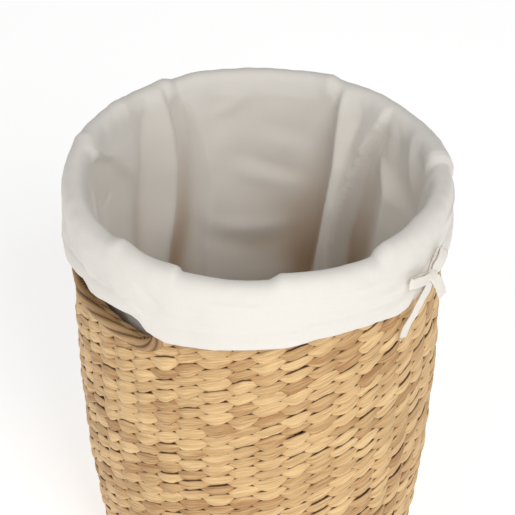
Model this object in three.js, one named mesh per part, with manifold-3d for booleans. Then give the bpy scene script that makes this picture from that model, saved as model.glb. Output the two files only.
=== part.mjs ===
// Round woven laundry basket with a removable cotton liner turned down over its rim.
// Millimetres, +Z up. The origin is the centre of the footprint, on the surface it stands on.
// The two handle slots face +X and -X.

import * as THREE from 'three';
import Module from 'manifold-3d';
import { mergeVertices } from 'three/addons/utils/BufferGeometryUtils.js';

const { cos, sin, PI, max } = Math;
const GAP = 0.3;

// Woven wall
const WALL_TOP_RADIUS = 194.5;
const FLARE = 33.5;
const FLARE_HEIGHT = 420;
const FLARE_POWER = 2.8;
const WALL_THICKNESS = 14;
const WALL_JOIN_HEIGHT = 396;
const FACETS = 40;

// Foot, base and rim
const FOOT_HEIGHT = 15;
const FOOT_INNER_RADIUS = 141;
const FOOT_GROOVE_FLOOR = 5;
const BASE_RING_HEIGHT = 9;
const BASE_RADIUS = 150.4;
const BASE_THICKNESS = 9;
const RIM_LEG_HEIGHT = 490;
const RIM_RING_HEIGHT = 501.4;
const RIM_ROLL_RADIUS = 9;
const RIM_CENTRE_RADIUS = 189;

// Steel frame
const HOOP_WIRE = 6;
const HOOP_GROOVE = 3.8;
const WIRE_SIDES = 6;
const UPRIGHT_WIRE = 4;
const UPRIGHT_COUNT = 12;
const UPRIGHT_LOW = 12.4;
const UPRIGHT_HIGH = 498.1;
const CHANNEL = 6.4;
const CROSS_WIRE_REACH = 149.5;

// Handle slots
const SLOT_LOW = 411;
const SLOT_HIGH = 461;
const SLOT_HALF_WIDTH = 74;
const SLOT_CORNER = 22;
const TRIM_WIDTH = 8;
const TRIM_PROUD = 2;
const TRIM_INSIDE = 16;
const HANDLE_WIRE = 4;

// Liner
const CLOTH = 1.6;
const BAG_CLEARANCE = 1.2;
const BAG_MAX_RADIUS = 176.5;
const LINER_BASE_HEIGHT = 29.2;
const BAG_TOP = 498;
const CUFF_INNER_RADIUS = 200;
const CUFF_THICKNESS = 3;
const HEM_LOW = 440;
const HEM_HIGH = 460;
const HEM_THICKNESS = 3.3;
const HEM_CLOTH = 0.75;
const TUNNEL_HALF = 6.5;

// Drawstring tape and its bow
const TAPE_WIDTH = 12;
const TAPE_THICKNESS = 1.2;
const HEM_START = 296;
const HEM_END = 644;

const wasm = await Module();
wasm.setup();

function wallRadius(z) {
  const rise = max(0, 1 - z / FLARE_HEIGHT);
  return WALL_TOP_RADIUS - FLARE * rise ** FLARE_POWER;
}

function degrees(angle) {
  return angle * PI / 180;
}

// The point at an angle from +X, a distance from the axis and a height.
function around(angle, radius, z) {
  return new THREE.Vector3(radius * cos(degrees(angle)), radius * sin(degrees(angle)), z);
}

function plain(geometry) {
  const bare = geometry.clone();
  bare.deleteAttribute('normal');
  bare.deleteAttribute('uv');
  return mergeVertices(bare, 1e-3);
}

function solid(geometry) {
  const merged = plain(geometry);
  return new wasm.Manifold(new wasm.Mesh({
    numProp: 3,
    vertProperties: new Float32Array(merged.attributes.position.array),
    triVerts: new Uint32Array(merged.index.array),
  }));
}

function geometryOf(manifold) {
  const mesh = manifold.getMesh();
  const geometry = new THREE.BufferGeometry();
  geometry.setAttribute('position', new THREE.Float32BufferAttribute(mesh.vertProperties, 3));
  geometry.setIndex(Array.from(mesh.triVerts));
  return geometry;
}

// Moves every point of a geometry to where place() puts it.
function moved(geometry, place) {
  const position = geometry.attributes.position;
  const point = new THREE.Vector3();
  for (let i = 0; i < position.count; i += 1) {
    point.fromBufferAttribute(position, i);
    place(point);
    position.setXYZ(i, point.x, point.y, point.z);
  }
  return geometry;
}

// Moves a straight cylinder's points in or out, to the flare of the woven wall.
function flared(geometry) {
  return moved(geometry, (point) => {
    const radius = Math.hypot(point.x, point.y);
    const shift = (radius + wallRadius(point.z) - WALL_TOP_RADIUS) / radius;
    point.x *= shift;
    point.y *= shift;
  });
}

// Bends a flat piece (x along the wall, y up, z outwards) onto the wall round a centre angle.
function bent(geometry, centre) {
  return moved(geometry, (point) => {
    const angle = degrees(centre) + point.x / WALL_TOP_RADIUS;
    const radius = wallRadius(point.y) + point.z;
    point.set(radius * cos(angle), radius * sin(angle), point.y);
  });
}

// A ring turned about Z from a section of [radius, height] points, listed anticlockwise.
function ring(section) {
  const points = section.map(([r, z]) => new THREE.Vector2(r, z));
  points.push(points[0].clone());
  return new THREE.LatheGeometry(points, FACETS).rotateX(PI / 2);
}

function disc(radius, low, high) {
  const height = high - low;
  return new THREE.CylinderGeometry(radius, radius, height, FACETS)
    .rotateX(PI / 2)
    .translate(0, 0, low + height / 2);
}

function hoop(radius, z) {
  const section = [];
  for (let i = 0; i < WIRE_SIDES; i += 1) {
    const angle = (i + 0.5) * 2 * PI / WIRE_SIDES;
    section.push([radius + HOOP_WIRE / 2 * cos(angle), z + HOOP_WIRE / 2 * sin(angle)]);
  }
  return ring(section);
}

function circle(x, y, radius, sides) {
  const points = [];
  for (let i = 0; i < sides; i += 1) {
    const angle = i * 2 * PI / sides;
    points.push(new THREE.Vector2(x + radius * cos(angle), y + radius * sin(angle)));
  }
  return points;
}

const UPRIGHT_RADIUS = WALL_TOP_RADIUS - WALL_THICKNESS / 2;
const uprightAngles = Array.from({ length: UPRIGHT_COUNT }, (_, i) => i * 360 / UPRIGHT_COUNT);

function isUnderSlot(angle) {
  return angle % 180 === 0;
}

// A woven band between two heights, with a channel round each upright that runs through it.
function wovenBand(low, high, angles, steps) {
  const shape = new THREE.Shape(circle(0, 0, WALL_TOP_RADIUS, FACETS));
  shape.holes.push(new THREE.Path(circle(0, 0, WALL_TOP_RADIUS - WALL_THICKNESS, FACETS)));
  for (const angle of angles) {
    const centre = around(angle, UPRIGHT_RADIUS, 0);
    shape.holes.push(new THREE.Path(circle(centre.x, centre.y, CHANNEL / 2, WIRE_SIDES)));
  }
  const options = { depth: high - low, steps, bevelEnabled: false };
  return flared(new THREE.ExtrudeGeometry(shape, options).translate(0, 0, low));
}

// The outline of a handle slot, grown by a margin, with its straight sides divided.
function slotOutline(margin) {
  const half = SLOT_HALF_WIDTH + margin;
  const low = SLOT_LOW - margin;
  const high = SLOT_HIGH + margin;
  const corner = SLOT_CORNER + margin;
  const pieces = 6;
  const points = [];
  const run = (x0, x1, y) => {
    for (let i = 1; i < pieces; i += 1) {
      points.push(new THREE.Vector2(x0 + (x1 - x0) * i / pieces, y));
    }
  };
  const arc = (x, y, start) => {
    for (let i = 0; i <= 3; i += 1) {
      const angle = degrees(start + i * 30);
      points.push(new THREE.Vector2(x + corner * cos(angle), y + corner * sin(angle)));
    }
  };
  arc(half - corner, low + corner, -90);
  arc(half - corner, high - corner, 0);
  run(half - corner, corner - half, high);
  arc(corner - half, high - corner, 90);
  arc(corner - half, low + corner, 180);
  run(corner - half, half - corner, low);
  return points;
}

// The block that a slot and its trim take out of the wall.
function slotBlock(centre) {
  const shape = new THREE.Shape(slotOutline(TRIM_WIDTH + 2 * GAP));
  const depth = 6 * WALL_THICKNESS;
  const block = new THREE.ExtrudeGeometry(shape, { depth, steps: 6, bevelEnabled: false });
  return solid(bent(block.translate(0, 0, -depth / 2), centre));
}

function upperWall() {
  const angles = uprightAngles.filter((angle) => !isUnderSlot(angle));
  const band = solid(wovenBand(WALL_JOIN_HEIGHT + GAP, RIM_LEG_HEIGHT - GAP, angles, 2));
  return geometryOf(band.subtract(slotBlock(0)).subtract(slotBlock(180)));
}

// A closed loop round a slot, from a section of [margin from the slot, outwards] points.
function slotLoop(section, centre) {
  const outlines = section.map(([margin]) => slotOutline(margin));
  const count = outlines[0].length;
  const sides = section.length;
  const position = [];
  const index = [];
  for (let i = 0; i < count; i += 1) {
    for (let j = 0; j < sides; j += 1) {
      const { x, y } = outlines[j][i];
      position.push(x, y, section[j][1]);
      const a = i * sides + j;
      const b = ((i + 1) % count) * sides + j;
      const c = ((i + 1) % count) * sides + (j + 1) % sides;
      const d = i * sides + (j + 1) % sides;
      index.push(a, b, c, a, c, d);
    }
  }
  const geometry = new THREE.BufferGeometry();
  geometry.setAttribute('position', new THREE.Float32BufferAttribute(position, 3));
  geometry.setIndex(index);
  return bent(geometry, centre);
}

const WIRE_LINE = -WALL_THICKNESS / 2;

// The wrapped edge of a slot, with a groove round its outside for the handle's wire loop.
function handleTrim(centre) {
  const groove = HANDLE_WIRE / 2 + GAP;
  const depth = TRIM_WIDTH - HANDLE_WIRE - 2 * GAP;
  return slotLoop([
    [2, -TRIM_INSIDE],
    [TRIM_WIDTH, -TRIM_INSIDE],
    [TRIM_WIDTH, WIRE_LINE - groove],
    [depth, WIRE_LINE - groove],
    [depth, WIRE_LINE + groove],
    [TRIM_WIDTH, WIRE_LINE + groove],
    [TRIM_WIDTH, TRIM_PROUD],
    [2, TRIM_PROUD],
    [0, TRIM_PROUD - 3],
    [0, 3 - TRIM_INSIDE],
  ], centre);
}

function handleWire(centre) {
  const middle = TRIM_WIDTH - GAP - HANDLE_WIRE / 2;
  const section = circle(middle, WIRE_LINE, HANDLE_WIRE / 2, WIRE_SIDES).map((p) => [p.x, p.y]);
  return slotLoop(section, centre);
}

function upright(angle) {
  const high = isUnderSlot(angle) ? WALL_JOIN_HEIGHT - GAP : UPRIGHT_HIGH;
  const height = high - UPRIGHT_LOW;
  const radius = UPRIGHT_WIRE / 2;
  const rod = new THREE.CylinderGeometry(radius, radius, height, WIRE_SIDES, 6);
  const middle = around(angle, UPRIGHT_RADIUS, UPRIGHT_LOW + height / 2);
  return flared(rod.rotateX(PI / 2).translate(middle.x, middle.y, middle.z));
}

const BASE_RING_RADIUS = wallRadius(BASE_RING_HEIGHT) - WALL_THICKNESS / 2;

// A low ring under the wall, with a groove in its top for the base hoop.
function footBorder() {
  const outer = wallRadius(0) + 2;
  return ring([
    [FOOT_INNER_RADIUS + 3, 0],
    [outer - 3, 0],
    [outer, 4],
    [outer + 1.5, 10],
    [wallRadius(FOOT_HEIGHT), FOOT_HEIGHT],
    [BASE_RING_RADIUS + HOOP_GROOVE, FOOT_HEIGHT],
    [BASE_RING_RADIUS + HOOP_GROOVE, FOOT_GROOVE_FLOOR],
    [BASE_RING_RADIUS - HOOP_GROOVE, FOOT_GROOVE_FLOOR],
    [BASE_RING_RADIUS - HOOP_GROOVE, FOOT_HEIGHT],
    [FOOT_INNER_RADIUS, FOOT_HEIGHT],
    [FOOT_INNER_RADIUS, 4],
  ]);
}

const CROSS_WIRE_HEIGHT = FOOT_HEIGHT + GAP + UPRIGHT_WIRE / 2;

function crossWire(angle, from, to) {
  const wire = new THREE.CylinderGeometry(UPRIGHT_WIRE / 2, UPRIGHT_WIRE / 2, to - from, 8);
  return wire.rotateZ(PI / 2)
    .translate((from + to) / 2, 0, CROSS_WIRE_HEIGHT)
    .rotateZ(degrees(angle));
}

function baseWeave() {
  const low = CROSS_WIRE_HEIGHT + UPRIGHT_WIRE / 2 + GAP;
  return disc(BASE_RADIUS, low, low + BASE_THICKNESS);
}

// An inverted channel over the top of the wall, rounded like a roll, that hides the rim hoop.
function rimBorder() {
  const inner = RIM_CENTRE_RADIUS - RIM_ROLL_RADIUS;
  const outer = RIM_CENTRE_RADIUS + RIM_ROLL_RADIUS;
  const grooveTop = RIM_RING_HEIGHT + 4;
  const section = [[outer, RIM_LEG_HEIGHT]];
  const steps = 6;
  for (let i = 0; i <= steps; i += 1) {
    const angle = PI * i / steps;
    section.push([
      RIM_CENTRE_RADIUS + RIM_ROLL_RADIUS * cos(angle),
      RIM_RING_HEIGHT + RIM_ROLL_RADIUS * sin(angle),
    ]);
  }
  section.push([inner, RIM_LEG_HEIGHT]);
  section.push([UPRIGHT_RADIUS - HOOP_GROOVE, RIM_LEG_HEIGHT]);
  section.push([UPRIGHT_RADIUS - HOOP_GROOVE, grooveTop]);
  section.push([UPRIGHT_RADIUS + HOOP_GROOVE, grooveTop]);
  section.push([UPRIGHT_RADIUS + HOOP_GROOVE, RIM_LEG_HEIGHT]);
  return ring(section);
}

function bagRadius(z) {
  return Math.min(BAG_MAX_RADIUS, wallRadius(z) - WALL_THICKNESS - BAG_CLEARANCE);
}

function linerBase() {
  return disc(bagRadius(LINER_BASE_HEIGHT), LINER_BASE_HEIGHT, LINER_BASE_HEIGHT + CLOTH);
}

const BAG_LOW = LINER_BASE_HEIGHT + CLOTH + GAP;

function linerBag() {
  const heights = [BAG_LOW, 65, 105, 145, 185, 240, BAG_TOP];
  const outside = heights.map((z) => [bagRadius(z), z]);
  const inside = heights.map((z) => [bagRadius(z) - CLOTH, z]).reverse();
  return ring([...outside, ...inside]);
}

// The cloth over the rim: from the top of the bag, over the roll and down outside to the hem.
// Its section goes up the outside face, over the top and back down the inside face.
function linerCuff() {
  const top = RIM_RING_HEIGHT + RIM_ROLL_RADIUS;
  const outer = CUFF_INNER_RADIUS + CUFF_THICKNESS;
  const low = HEM_HIGH + GAP;
  return ring([
    [outer, low],
    [outer + 0.2, RIM_RING_HEIGHT - 4],
    [outer - 0.7, RIM_RING_HEIGHT + 4],
    [outer - 5, top + 1.1],
    [RIM_CENTRE_RADIUS, top + 3.6],
    [180.5, top + 1.4],
    [175.6, RIM_RING_HEIGHT + 4.1],
    [BAG_MAX_RADIUS - CLOTH, BAG_TOP + GAP],
    [BAG_MAX_RADIUS, BAG_TOP + GAP],
    [177.9, RIM_RING_HEIGHT + 3],
    [182, top - 0.6],
    [RIM_CENTRE_RADIUS, top + 1],
    [196, top - 0.6],
    [CUFF_INNER_RADIUS - 0.6, RIM_RING_HEIGHT + 3],
    [CUFF_INNER_RADIUS, RIM_RING_HEIGHT - 4],
    [CUFF_INNER_RADIUS, low],
  ]);
}

// A strip of a [outwards, up] section that runs round the basket between two angles.
function strip(shape, from, to) {
  const steps = Math.round((to - from) / (360 / FACETS));
  const length = degrees(to - from);
  const geometry = new THREE.ExtrudeGeometry(shape, { depth: length, steps, bevelEnabled: false });
  return moved(geometry, (point) => {
    const angle = degrees(to) - point.z;
    point.set(point.x * cos(angle), point.x * sin(angle), point.y);
  });
}

function rectangle(left, right, low, high) {
  return [[left, low], [right, low], [right, high], [left, high]]
    .map(([x, y]) => new THREE.Vector2(x, y));
}

const HEM_INNER_RADIUS = CUFF_INNER_RADIUS - 0.2;
const BAND_RADIUS = HEM_INNER_RADIUS + HEM_THICKNESS / 2;
const BAND_HEIGHT = (HEM_LOW + HEM_HIGH) / 2;

// The hem is a flat tunnel, open at both ends, where the drawstring comes out.
function hemCasing() {
  const outer = HEM_INNER_RADIUS + HEM_THICKNESS;
  const shape = new THREE.Shape(rectangle(HEM_INNER_RADIUS, outer, HEM_LOW, HEM_HIGH));
  shape.holes.push(new THREE.Path(rectangle(
    HEM_INNER_RADIUS + HEM_CLOTH, outer - HEM_CLOTH,
    BAND_HEIGHT - TUNNEL_HALF, BAND_HEIGHT + TUNNEL_HALF,
  )));
  return strip(shape, HEM_START, HEM_END);
}

function drawstringBand() {
  const half = TAPE_THICKNESS / 2;
  return strip(new THREE.Shape(rectangle(
    BAND_RADIUS - half, BAND_RADIUS + half,
    BAND_HEIGHT - TAPE_WIDTH / 2, BAND_HEIGHT + TAPE_WIDTH / 2,
  )), HEM_START, HEM_END);
}

// A flat tape's route: the tape keeps its width along one direction as it bends.
class TapeRoute extends THREE.CatmullRomCurve3 {
  constructor(points, width) {
    super(points);
    this.width = width;
  }

  computeFrenetFrames(segments) {
    const tangents = [];
    const normals = [];
    const binormals = [];
    for (let i = 0; i <= segments; i += 1) {
      const tangent = this.getTangentAt(i / segments);
      const across = this.width.clone().addScaledVector(tangent, -this.width.dot(tangent));
      across.normalize();
      tangents.push(tangent);
      binormals.push(across);
      normals.push(new THREE.Vector3().crossVectors(across, tangent));
    }
    return { tangents, normals, binormals };
  }
}

function tape(route, width, steps) {
  const x = TAPE_THICKNESS / 2;
  const y = TAPE_WIDTH / 2;
  const section = [
    [x / 2, -y], [x, 1 - y], [x, y - 1], [x / 2, y], [-x / 2, y], [-x, y - 1], [-x, 1 - y], [-x / 2, -y],
  ];
  const shape = new THREE.Shape(section.map(([a, b]) => new THREE.Vector2(a, b)));
  const points = route.map(([angle, radius, z]) => around(angle, radius, z));
  const extrudePath = new TapeRoute(points, width);
  return new THREE.ExtrudeGeometry(shape, { steps, extrudePath });
}

// Routes of the bow's tapes as [angle, radius, height], and the knot that they meet at.
const KNOT = { angle: 289.8, radius: 208.6, height: 465, width: 11, depth: 8, tall: 10 };
const LEAD_LEFT = [
  [284.2, 201.6, 450], [285.2, 202.5, 450.4], [286.3, 204.2, 452.6], [287.3, 206, 457.4],
];
const LEAD_RIGHT = [
  [295.8, 201.6, 450], [294.8, 202.5, 450.4], [293.6, 204.2, 452.6], [292.5, 206, 457.4],
];
const LOOP_LEFT = [
  [287.9, 210.8, 468.6], [285.6, 211.8, 471.6], [282.8, 212, 474.6], [280.4, 211.2, 476.6],
  [279.6, 209.6, 477], [280.2, 208, 476.4], [282.8, 207.4, 473.6], [285.6, 207.2, 470.6],
  [287.9, 207.4, 468.2],
];
const LOOP_RIGHT = [
  [291.3, 211, 470.8], [292.9, 211.8, 476.4], [294.6, 211.8, 481.4], [295.9, 210.9, 484.6],
  [296.3, 209.5, 485.4], [295.9, 208.1, 484.4], [294.5, 207.6, 479.4], [292.8, 207.2, 473.6],
  [291.6, 207.2, 469.6],
];
const TAIL_LONG = [
  [287.9, 210.6, 459.8], [286.9, 210.4, 454], [285.4, 208.8, 443.6], [283.9, 204.8, 430],
  [282.2, 201, 414.4], [280.6, 199.8, 402.8],
];
const TAIL_SHORT = [
  [291.5, 210, 459.2], [292.5, 211.6, 452], [293.6, 212.8, 443], [294.8, 213.4, 430],
];

function knot() {
  const turn = degrees(KNOT.angle);
  const place = around(KNOT.angle, KNOT.radius, KNOT.height);
  const shape = new THREE.Shape(circle(0, 0, 1, 10).map((p) => new THREE.Vector2(
    p.x * (KNOT.width - 2) / 2, p.y * (KNOT.tall - 2) / 2,
  )));
  const options = {
    depth: KNOT.depth - 2, bevelThickness: 1, bevelSize: 1, bevelSegments: 1, bevelEnabled: true,
  };
  return new THREE.ExtrudeGeometry(shape, options)
    .translate(0, 0, 1 - KNOT.depth / 2)
    .rotateX(PI / 2)
    .rotateZ(turn + PI / 2)
    .translate(place.x, place.y, place.z);
}

// The direction along the wall and square to a slant, in degrees above the horizontal.
function acrossSlant(slant) {
  const along = new THREE.Vector3(-sin(degrees(KNOT.angle)), cos(degrees(KNOT.angle)), 0);
  return along.multiplyScalar(-sin(degrees(slant))).add(new THREE.Vector3(0, 0, cos(degrees(slant))));
}

const steel = { color: 0x8f9296, roughness: 0.4, metalness: 1 };
const hyacinth = { color: 0xcba870, roughness: 0.75, metalness: 0 };
const darkHyacinth = { color: 0xb58d55, roughness: 0.8, metalness: 0 };
const cotton = { color: 0xece7dc, roughness: 0.9, metalness: 0 };
const cottonTape = { color: 0xf2efe8, roughness: 0.85, metalness: 0 };

const basket = new THREE.Group();

function add(name, geometry, finish) {
  const mesh = new THREE.Mesh(geometry, new THREE.MeshStandardMaterial(finish));
  mesh.name = name;
  basket.add(mesh);
}

add('foot_border', footBorder(), darkHyacinth);
add('base_ring', hoop(BASE_RING_RADIUS, BASE_RING_HEIGHT), steel);
add('base_wire_across', crossWire(0, -CROSS_WIRE_REACH, CROSS_WIRE_REACH), steel);
add('base_wire_front', crossWire(-90, UPRIGHT_WIRE / 2 + GAP, CROSS_WIRE_REACH), steel);
add('base_wire_back', crossWire(90, UPRIGHT_WIRE / 2 + GAP, CROSS_WIRE_REACH), steel);
add('base_weave', baseWeave(), hyacinth);
add('wall_lower', wovenBand(FOOT_HEIGHT + GAP, WALL_JOIN_HEIGHT, uprightAngles, 6), hyacinth);
add('wall_upper', upperWall(), hyacinth);
uprightAngles.forEach((angle, i) => {
  add(`upright_${String(i + 1).padStart(2, '0')}`, upright(angle), steel);
});
add('handle_trim_right', handleTrim(0), darkHyacinth);
add('handle_trim_left', handleTrim(180), darkHyacinth);
add('handle_wire_right', handleWire(0), steel);
add('handle_wire_left', handleWire(180), steel);
add('rim_ring', hoop(UPRIGHT_RADIUS, RIM_RING_HEIGHT), steel);
add('rim_border', rimBorder(), darkHyacinth);

add('liner_base', linerBase(), cotton);
add('liner_bag', linerBag(), cotton);
add('liner_cuff', linerCuff(), cotton);
add('hem_casing', hemCasing(), cotton);
add('drawstring_band', drawstringBand(), cottonTape);
add('tape_lead_left', tape(LEAD_LEFT, acrossSlant(0), 5), cottonTape);
add('tape_lead_right', tape(LEAD_RIGHT, acrossSlant(0), 5), cottonTape);
add('tape_knot', knot(), cottonTape);
add('tape_loop_left', tape(LOOP_LEFT, acrossSlant(-14), 16), cottonTape);
add('tape_loop_right', tape(LOOP_RIGHT, acrossSlant(45), 16), cottonTape);
add('tape_tail_long', tape(TAIL_LONG, acrossSlant(66), 10), cottonTape);
add('tape_tail_short', tape(TAIL_SHORT, acrossSlant(-60), 6), cottonTape);

export default basket;
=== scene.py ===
import math

import bpy
import numpy as np
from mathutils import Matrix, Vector, noise


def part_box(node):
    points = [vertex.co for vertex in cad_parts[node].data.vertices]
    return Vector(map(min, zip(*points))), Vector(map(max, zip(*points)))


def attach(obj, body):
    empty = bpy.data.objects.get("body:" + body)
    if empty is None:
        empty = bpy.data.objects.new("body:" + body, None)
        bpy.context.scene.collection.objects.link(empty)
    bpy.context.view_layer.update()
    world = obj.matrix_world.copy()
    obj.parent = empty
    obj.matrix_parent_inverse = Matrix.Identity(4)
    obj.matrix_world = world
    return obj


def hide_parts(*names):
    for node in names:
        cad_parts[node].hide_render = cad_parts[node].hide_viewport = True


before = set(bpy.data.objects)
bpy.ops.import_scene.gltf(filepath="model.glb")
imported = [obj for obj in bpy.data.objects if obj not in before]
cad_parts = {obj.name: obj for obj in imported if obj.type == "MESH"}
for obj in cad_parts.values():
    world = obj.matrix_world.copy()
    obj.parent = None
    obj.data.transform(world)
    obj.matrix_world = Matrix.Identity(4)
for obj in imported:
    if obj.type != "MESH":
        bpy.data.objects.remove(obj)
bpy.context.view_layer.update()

MM = 0.001
TURN = 2 * math.pi
UP = Vector((0, 0, 1))

# The side the basket is seen from, as a turn from -Y
FRONT = math.radians(-36.5)
HEADING = Vector((math.sin(FRONT), -math.cos(FRONT), 0))

# Sizes read from the frame
RIM_HEIGHT = sum(corner.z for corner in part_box("rim_ring")) / 2
WALL_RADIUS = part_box("wall_upper")[1].x
WALL_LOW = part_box("wall_lower")[0].z
WALL_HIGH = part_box("wall_upper")[1].z
LINER_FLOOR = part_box("liner_base")[1].z

# The handle slots, inside their trims
TRIM_LOW, TRIM_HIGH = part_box("handle_trim_right")
TRIM_WIDTH = 8 * MM
SLOT_LOW = TRIM_LOW.z + TRIM_WIDTH
SLOT_HIGH = TRIM_HIGH.z - TRIM_WIDTH
SLOT_HALF = WALL_RADIUS * math.asin(TRIM_HIGH.y / (WALL_RADIUS + 2 * MM)) - TRIM_WIDTH
SLOT_CORNER = 22 * MM
SLOT_MIDDLE = (SLOT_HIGH + SLOT_LOW) / 2
SLOT_TALL = (SLOT_HIGH - SLOT_LOW) / 2


def wall_radius(z):
    """The outside of the woven wall at a height: straight at the top, drawn in to the foot."""
    straight_above, drawn_in = 420 * MM, 33.5 * MM
    rise = max(0.0, 1 - z / straight_above)
    return WALL_RADIUS - drawn_in * rise ** 2.8


def around(angle, radius, z):
    """The point at an angle in degrees from +X, a distance from the axis and a height."""
    turn = math.radians(angle)
    return Vector((radius * math.cos(turn), radius * math.sin(turn), z))


# ---------------- camera, light and floor

def link(thing):
    bpy.context.scene.collection.objects.link(thing)
    return thing


def make_camera():
    distance, lens = 2.5, 169.7
    rise, drop = math.radians(35.3), math.radians(1.838)
    camera = link(bpy.data.objects.new("camera", bpy.data.cameras.new("camera")))
    camera.data.lens = lens
    camera.location = UP * RIM_HEIGHT + distance * (HEADING * math.cos(rise) + UP * math.sin(rise))
    look = -HEADING * math.cos(rise + drop) - UP * math.sin(rise + drop)
    camera.rotation_euler = look.to_track_quat("-Z", "Y").to_euler()
    bpy.context.scene.camera = camera


def add_light(name, place, power):
    """A large square lamp, turned to the upper part of the basket."""
    light = link(bpy.data.objects.new(name, bpy.data.lights.new(name, "AREA")))
    light.data.size = 1.8
    light.data.energy = power
    light.location = place
    light.rotation_euler = (UP * 0.4 - place).to_track_quat("-Z", "Y").to_euler()


def make_studio():
    sky_strength, floor_glow, key_power, fill_power = 0.3, 0.52, 56, 21
    world = bpy.data.worlds.new("studio")
    bpy.context.scene.world = world
    world.use_nodes = True
    background = world.node_tree.nodes["Background"]
    background.inputs["Color"].default_value = (1, 1, 1, 1)
    background.inputs["Strength"].default_value = sky_strength
    side = Vector((-HEADING.y, HEADING.x, 0))
    add_light("key", HEADING * 2.45 + side * 1.2 + UP * 2.65, key_power)
    add_light("fill", HEADING * 1.9 - side * 1.7 + UP * 2.4, fill_power)
    bpy.ops.mesh.primitive_plane_add(size=14)
    floor = bpy.context.object
    floor.name = "floor"
    floor.data.materials.append(surface("studio floor", Roughness=0.9, **{
        "Base Color": (0.93, 0.93, 0.93, 1), "Emission Color": (1, 1, 1, 1), "Emission Strength": floor_glow,
    }))
    bpy.context.scene.view_settings.view_transform = "Standard"


# ---------------- node helpers

class Field:
    """A number in a node tree. Arithmetic on fields adds the Math nodes that work it out."""

    def __init__(self, tree, socket):
        self.tree = tree
        self.socket = socket

    def math(self, operation, *others, clamp=False):
        node = self.tree.nodes.new("ShaderNodeMath")
        node.operation = operation
        node.use_clamp = clamp
        for slot, value in zip(node.inputs, (self, *others)):
            feed(self.tree, slot, value)
        return Field(self.tree, node.outputs[0])

    def __add__(self, other):
        return self.math("ADD", other)

    def __sub__(self, other):
        return self.math("SUBTRACT", other)

    def __mul__(self, other):
        return self.math("MULTIPLY", other)

    def __truediv__(self, other):
        return self.math("DIVIDE", other)

    def __pow__(self, other):
        return self.math("POWER", other)

    __radd__ = __add__
    __rmul__ = __mul__

    def sine(self):
        return self.math("SINE")

    def cosine(self):
        return self.math("COSINE")

    def absolute(self):
        return self.math("ABSOLUTE")

    def clamped(self):
        """Held between 0 and 1."""
        return self.math("MULTIPLY", 1, clamp=True)


def feed(tree, slot, value):
    """Sets a node's input to a number or a colour, or links a field or a socket to it."""
    if isinstance(value, Field):
        tree.links.new(value.socket, slot)
    elif isinstance(value, bpy.types.NodeSocket):
        tree.links.new(value, slot)
    else:
        slot.default_value = value


def add_node(tree, kind, inputs=None, **settings):
    node = tree.nodes.new(kind)
    for name, value in settings.items():
        setattr(node, name, value)
    for name, value in (inputs or {}).items():
        feed(tree, node.inputs[name], value)
    return node


def made(tree, kind, inputs=None, **settings):
    """What comes out of a new geometry node, such as a changed geometry."""
    return add_node(tree, "GeometryNode" + kind, inputs, **settings).outputs[0]


FLOAT, WHOLE, COLOUR = "NodeSocketFloat", "NodeSocketInt", "NodeSocketColor"
GEOMETRY, MATERIAL = "NodeSocketGeometry", "NodeSocketMaterial"


def new_tree(name, kind, inputs, outputs):
    """An empty node group with named inputs (name, socket type, default) and outputs."""
    tree = bpy.data.node_groups.new(name, kind)
    for label, socket_type, default in inputs:
        socket = tree.interface.new_socket(label, in_out="INPUT", socket_type=socket_type)
        if default is not None:
            socket.default_value = default
    for label, socket_type in outputs:
        tree.interface.new_socket(label, in_out="OUTPUT", socket_type=socket_type)
    source = tree.nodes.new("NodeGroupInput")
    sink = tree.nodes.new("NodeGroupOutput")
    fields = {label: Field(tree, source.outputs[label]) for label, _, _ in inputs}
    return tree, fields, sink


def named(tree, name):
    return Field(tree, made(tree, "InputNamedAttribute", {"Name": name}, data_type="FLOAT"))


def store(tree, geometry, **values):
    """The geometry with a value stored on its points under each name."""
    for name, value in values.items():
        geometry = made(tree, "StoreNamedAttribute", {
            "Geometry": geometry, "Name": name, "Value": value,
        }, data_type="FLOAT", domain="POINT")
    return geometry


def combine(tree, x, y, z):
    return add_node(tree, "ShaderNodeCombineXYZ", {"X": x, "Y": y, "Z": z}).outputs[0]


def separate(tree, vector):
    node = add_node(tree, "ShaderNodeSeparateXYZ", {0: vector})
    return [Field(tree, socket) for socket in node.outputs]


def in_use(sockets, kind):
    """The sockets of one type that a node's present mode uses."""
    return [socket for socket in sockets if socket.enabled and socket.type == kind]


def blend(tree, factor, first, second):
    """A colour between two."""
    node = add_node(tree, "ShaderNodeMix", {"Factor": factor}, data_type="RGBA")
    for slot, colour in zip(in_use(node.inputs, "RGBA"), (first, second)):
        feed(tree, slot, colour)
    return in_use(node.outputs, "RGBA")[0]


def chance(tree, low, high, number, seed):
    """A random value between two, the same wherever the number is the same."""
    node = add_node(tree, "FunctionNodeRandomValue", {"ID": number, "Seed": seed}, data_type="FLOAT")
    for slot, value in zip(in_use(node.inputs, "VALUE"), (low, high)):
        feed(tree, slot, value)
    return Field(tree, in_use(node.outputs, "VALUE")[0])


def ripple(tree, vector, scale, detail=2.0):
    """Soft noise centred on zero, about -1 to 1."""
    node = add_node(tree, "ShaderNodeTexNoise", {"Vector": vector, "Scale": scale, "Detail": detail})
    return Field(tree, node.outputs[0]) * 2 - 1


def finish_geometry(tree, geometry, material, sink):
    """The last nodes of a tree that makes a piece: smooth, one plain mesh, with its material."""
    smooth = made(tree, "SetShadeSmooth", {"Geometry": geometry})
    plain = made(tree, "RealizeInstances", {"Geometry": smooth})
    feed(tree, sink.inputs[0], made(tree, "SetMaterial", {"Geometry": plain, "Material": material}))


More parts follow.
